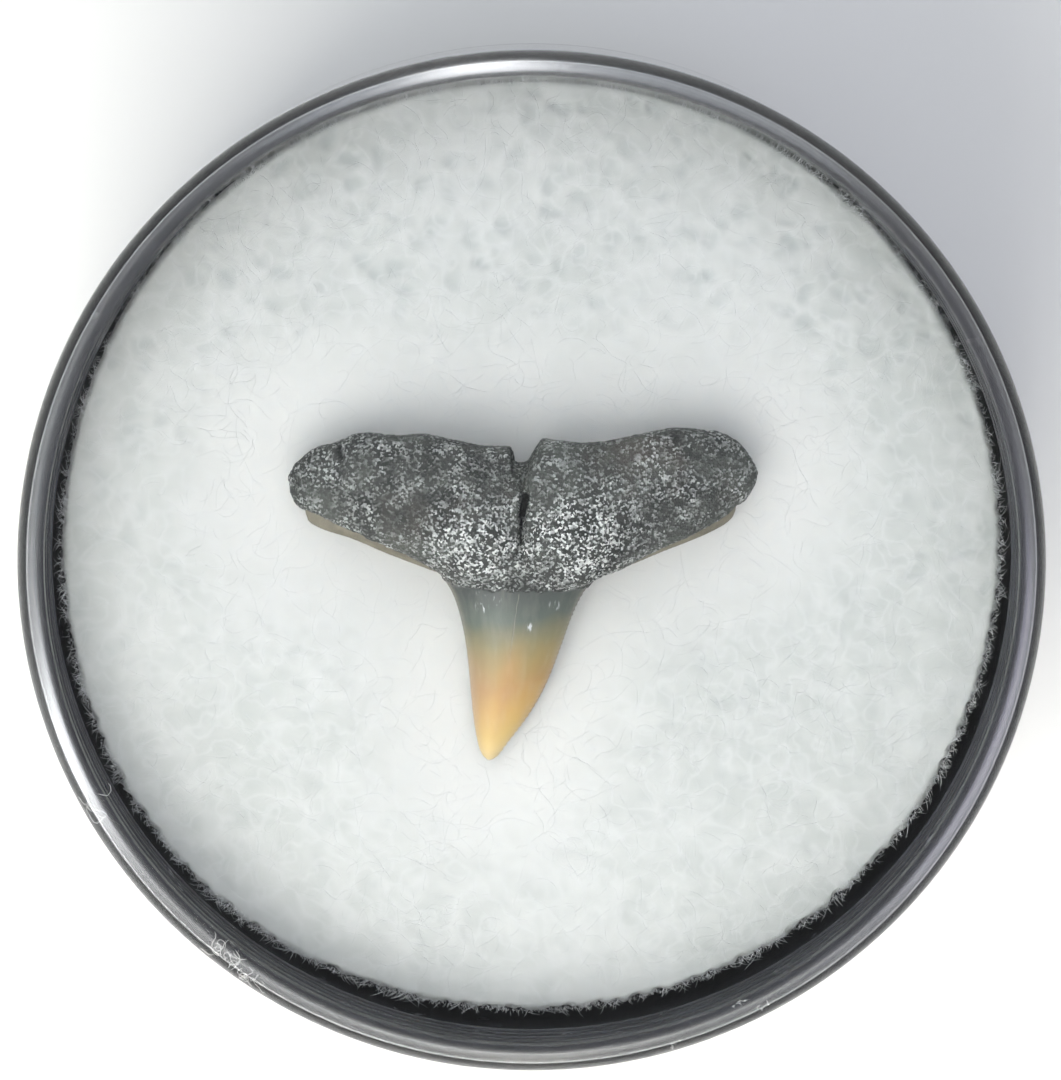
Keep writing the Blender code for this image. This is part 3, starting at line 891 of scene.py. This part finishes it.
def tuft_strand(rng, azimuth, centre, spread):
    """One stray fibre that curls over the rounded edge of the lid."""
    turn = math.radians(azimuth) + rng.gauss(0.0, spread * MM / centre)
    radius = centre + rng.gauss(0.0, 0.4 * spread * MM)
    heading = rng.uniform(0.0, 2 * math.pi)
    bend = rng.gauss(0.0, 0.5)
    strand = []
    for _ in range(TUFT_POINTS):
        radius = min(max(radius, TUFT_INNER), TUFT_OUTER)
        over = max(0.0, radius - (JAR_RADIUS - LID_EDGE_ROUND))
        height = JAR_TOP - LID_EDGE_ROUND + math.sqrt(LID_EDGE_ROUND ** 2 - over ** 2)
        strand.append((radius * math.cos(turn), radius * math.sin(turn), height + 0.004 * MM))
        heading += bend + rng.gauss(0.0, 0.3)
        step = spread * rng.uniform(0.12, 0.25) * MM
        turn += step * math.cos(heading) / radius
        radius += step * math.sin(heading)
    return strand


def make_rim_tufts():
    rng = random.Random(31)
    strands = []
    for azimuth, centre, count, spread in RIM_TUFTS:
        strands += [tuft_strand(rng, azimuth, centre, spread) for _ in range(count)]
    piece = strands_to_mesh("rim_tufts", strands, TUFT_RADIUS)
    piece.data.materials.append(fringe_material())
    return finish_piece(piece, "rim_tufts", "white_fibre")


# Tooth

def between(rows, place):
    """The other columns of rows at a place along the first column, on straight spans."""
    ordered = sorted(rows)
    if place <= ordered[0][0]:
        return ordered[0][1:]
    for start, end in zip(ordered, ordered[1:]):
        if place <= end[0]:
            share = (place - start[0]) / (end[0] - start[0])
            return [a + (b - a) * share for a, b in zip(start[1:], end[1:])]
    return ordered[-1][1:]


def root_share(local):
    """1 on the root and 0 on the crown, whose enamel also covers the labial foot of the root."""
    ragged = 0.10 * noise.fractal(local * 2.2, 0.7, 2.0, 3)
    above = local.y + ragged - between(ROOT_EDGE, local.x)[0]
    labial = smooth_share(1.0, 0.7, local.z) if abs(local.x) < 8.2 else 0.0
    labial_top = 3.4 + 0.2 * math.sin(local.x * 1.3)
    labial *= smooth_share(labial_top, labial_top - 0.3, local.y)
    return smooth_share(-0.05, 0.05, above) * (1.0 - labial)


def crease_share(local):
    """How deep a point of the root lies in one of its creases, from 0 to 1; the same share sets the
    creases' painted shade.
    """
    place = Vector((local.x, local.y, 0.0))
    share = 0.0
    for start_x, start_y, end_x, end_y, half_width in CREASES:
        start, end = Vector((start_x, start_y, 0.0)), Vector((end_x, end_y, 0.0))
        gap = distance_to_line(place, start, end)[0]
        share = max(share, smooth_share(half_width * 1.8, half_width * 0.4, gap))
    return share


def glint_share(local):
    """How much of the painted glint on scratches a point at the crown's base gets, from 0 to 1."""
    share = 0.0
    for x, y, reach in SCRATCH_GLINT_SPOTS:
        gap = math.hypot(local.x - x, local.y - y)
        share = max(share, smooth_share(reach, 0.3 * reach, gap))
    return share


def grain_share(local):
    """How thickly pale grains lie: most on the swellings, and in patches elsewhere."""
    bulge = 0.0
    for x, y, width, height in ROOT_BULGES:
        bulge += math.exp(-((local.x - x) / width) ** 2 - ((local.y - y) / height) ** 2)
    patch = 0.40 * noise.noise(local * 0.9) + 0.45 * noise.noise(local * 2.6)
    return max(0.05, min(1.0, 0.30 + 1.05 * bulge + patch))


def tooth_shares(local, left, right):
    """The painted shares of one point of the tooth, between the cusp's left and right edge."""
    inside = min(local.x - left, right - local.x)
    root = root_share(local)
    return {
        "root": root,
        "heel": smooth_share(0.25, -0.1, inside) * smooth_share(-0.9, 0.0, local.y),
        "grain": grain_share(local),
        "edge": smooth_share(0.35, 0.0, inside),
        "rim": smooth_share(0.20, 0.0, local.z),
        "across": max(-1.0, min(1.0, (2.0 * local.x - left - right) / (right - left))),
        "crease": crease_share(local) * root * smooth_share(1.2, 1.8, local.z),
        "scratch_glint": glint_share(local),
    }


def skin_shift(local, left, right, root, crease):
    """How far the skin moves out, in millimetres: a granular, pitted root and a finely toothed cusp."""
    inside = min(local.x - left, right - local.x)
    grain = noise.fractal(local * 6.0, 0.6, 2.2, 3) * 0.028 + noise.noise(local * 15.0) * 0.022
    pits = -0.06 * smooth_share(0.35, 0.6, noise.noise(local * 3.1 + Vector((7.0, 3.0, 1.0))))
    serration = 0.02 * math.sin(local.y * 34.0) * smooth_share(0.25, 0.0, inside)
    serration *= smooth_share(0.1, -0.5, local.y) * (0.3 if local.x < left + 0.6 else 1.0)
    step = 0.05 * root
    return root * (grain + pits) + step + (1.0 - root) * serration - CREASE_DEPTH * crease


def resize_all(piece, share):
    activate(piece)
    bpy.ops.object.mode_set(mode="EDIT")
    bpy.ops.mesh.select_all(action="SELECT")
    bpy.ops.transform.resize(value=(share, share, share), center_override=(0.0, 0.0, 0.0))
    bpy.ops.object.mode_set(mode="OBJECT")


def copy_of_solid():
    """The CAD tooth as a mesh of its own, with its doubles merged."""
    activate(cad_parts["shark_tooth"])
    bpy.ops.object.duplicate()
    tooth = bpy.context.object
    tooth.parent = None
    for key in list(tooth.keys()):
        del tooth[key]
    tooth.data.materials.clear()
    activate(tooth)
    bpy.ops.object.mode_set(mode="EDIT")
    bpy.ops.mesh.select_all(action="SELECT")
    bpy.ops.mesh.remove_doubles(threshold=1e-6)
    bpy.ops.object.mode_set(mode="OBJECT")
    return tooth


def even_skin(tooth):
    """Gives the tooth fine even faces, softens all of it a little and its crown more."""
    resize_all(tooth, TOOTH_GROWTH)
    remesh = tooth.modifiers.new("even_skin", "REMESH")
    remesh.mode = "VOXEL"
    remesh.voxel_size = TOOTH_VOXEL * TOOTH_GROWTH
    apply_modifiers(tooth)
    crown = tooth.vertex_groups.new(name="crown")
    for corner in tooth.data.vertices:
        y = (corner.co.y / TOOTH_GROWTH - TOOTH_ORIGIN.y) / MM
        crown.add([corner.index], smooth_share(0.6, -0.6, y), "REPLACE")
    for name, group, turns in (("soften", "", 4), ("soften_crown", "crown", 45)):
        smooth = tooth.modifiers.new(name, "SMOOTH")
        smooth.factor = 0.5
        smooth.iterations = turns
        smooth.vertex_group = group
    apply_modifiers(tooth)
    resize_all(tooth, 1.0 / TOOTH_GROWTH)


def make_tooth():
    tooth = copy_of_solid()
    even_skin(tooth)
    mesh = tooth.data
    normals = [normal.vector.copy() for normal in mesh.vertex_normals]
    painted = []
    for corner, normal in zip(mesh.vertices, normals):
        local = (corner.co - TOOTH_ORIGIN) / MM
        left, right = between(CUSP_EDGES, local.y)
        shares = tooth_shares(local, left, right)
        painted.append(shares)
        shift = skin_shift(local, left, right, shares["root"], shares["crease"])
        corner.co += normal * shift * MM
    for name in painted[0]:
        paint(tooth, name, [shares[name] for shares in painted])
    mesh.shade_smooth()
    mesh.materials.append(tooth_material())
    return finish_piece(tooth, "tooth_body", "fossil_tooth", "shark_tooth")


# Stage, light and camera

def make_floor():
    deselect_all()
    bpy.ops.mesh.primitive_plane_add(size=FLOOR_SIZE, location=(0.0, 0.0, 0.0))
    floor = bpy.context.object
    floor.name = "floor"
    floor.data.materials.append(floor_material())


def add_light(name, azimuth, elevation, distance, size, power, colour, sheen_only=False):
    """A light panel aimed at the jar, its size as width and height. Azimuth 0 is +X and 90 is +Y.

    With sheen_only it shows only in the gloss of the jar's outside, and without it never shows in a gloss.
    """
    azimuth, elevation = math.radians(azimuth), math.radians(elevation)
    flat = math.cos(elevation)
    way = Vector((math.cos(azimuth) * flat, math.sin(azimuth) * flat, math.sin(elevation)))
    data = bpy.data.lights.new(name, "AREA")
    data.shape = "RECTANGLE"
    data.size, data.size_y = size
    data.energy = power
    data.color = colour
    light = bpy.data.objects.new(name, data)
    light.location = way * distance
    light.rotation_euler = way.to_track_quat("Z", "Y").to_euler()
    light.visible_glossy = sheen_only
    light.visible_diffuse = light.visible_transmission = not sheen_only
    light.visible_camera = False
    bpy.context.scene.collection.objects.link(light)


def set_ramp(node, stops):
    ramp = node.color_ramp
    while len(ramp.elements) < len(stops):
        ramp.elements.new(0.5)
    for element, (place, colour) in zip(ramp.elements, stops):
        element.position = place
        element.color = (*colour, 1.0)


def make_world():
    """Soft studio walls: brighter low down, dark overhead, and with a few paler panels round the jar."""
    world = bpy.data.worlds.new("studio")
    bpy.context.scene.world = world
    world.use_nodes = True
    nodes, links = world.node_tree.nodes, world.node_tree.links
    background = nodes["Background"]
    place = nodes.new("ShaderNodeTexCoord")
    split = nodes.new("ShaderNodeSeparateXYZ")
    links.new(place.outputs["Generated"], split.inputs["Vector"])
    height = nodes.new("ShaderNodeValToRGB")
    links.new(split.outputs["Z"], height.inputs["Fac"])
    set_ramp(height, WALL_HEIGHTS)
    bearing = nodes.new("ShaderNodeTexGradient")
    bearing.gradient_type = "RADIAL"
    links.new(place.outputs["Generated"], bearing.inputs["Vector"])
    panels = nodes.new("ShaderNodeValToRGB")
    links.new(bearing.outputs["Fac"], panels.inputs["Fac"])
    set_ramp(panels, WALL_PANELS)
    above = nodes.new("ShaderNodeMapRange")
    above.inputs["From Min"].default_value = PANELS_END
    above.inputs["From Max"].default_value = CEILING_START
    links.new(split.outputs["Z"], above.inputs["Value"])
    fade = nodes.new("ShaderNodeMix")
    fade.data_type = "RGBA"
    links.new(above.outputs["Result"], fade.inputs[0])
    links.new(panels.outputs["Color"], fade.inputs[6])
    fade.inputs[7].default_value = CEILING
    product = nodes.new("ShaderNodeMix")
    product.data_type = "RGBA"
    product.blend_type = "MULTIPLY"
    product.inputs[0].default_value = 1.0
    links.new(height.outputs["Color"], product.inputs[6])
    links.new(fade.outputs[2], product.inputs[7])
    links.new(product.outputs[2], background.inputs["Color"])
    background.inputs["Strength"].default_value = WALL_STRENGTH


def make_light():
    add_light(*KEY_LIGHT)
    for panel in SHEEN_PANELS:
        add_light(*panel, sheen_only=True)
    make_world()


def make_camera():
    """Looks down from a little towards +Y, at the point that stands at the middle of the photograph."""
    metres_per_pixel = JAR_RADIUS / JAR_RADIUS_PX
    aim = Vector((
        (PHOTO_WIDTH / 2 - JAR_CENTRE_PX[0]) * metres_per_pixel,
        (JAR_CENTRE_PX[1] - PHOTO_HEIGHT / 2) * metres_per_pixel,
        JAR_TOP - LID_EDGE_ROUND,
    ))
    back = Vector((0.0, math.sin(CAMERA_TILT), math.cos(CAMERA_TILT)))
    distance = CAMERA_HEIGHT / math.cos(CAMERA_TILT)
    data = bpy.data.cameras.new("camera")
    camera = bpy.data.objects.new("camera", data)
    camera.location = aim + back * distance
    camera.rotation_euler = (-CAMERA_TILT, 0.0, 0.0)
    data.sensor_width = SENSOR_WIDTH
    data.lens = SENSOR_WIDTH * distance / (PHOTO_HEIGHT * metres_per_pixel)
    data.clip_start = CLIP_NEAR
    data.clip_end = CLIP_FAR
    bpy.context.scene.collection.objects.link(camera)
    bpy.context.scene.camera = camera
    bpy.context.scene.view_settings.view_transform = "Standard"


def limit_light_paths():
    """Keeps the light paths short."""
    cycles = bpy.context.scene.cycles
    cycles.max_bounces = 8
    cycles.diffuse_bounces = 2


def main():
    limit_light_paths()
    make_camera()
    make_floor()
    make_light()
    make_lid()
    make_base()
    pad = make_pad()
    tooth = make_tooth()
    make_surface_strands(pad, tooth)
    make_fringe()
    make_rim_tufts()


main()
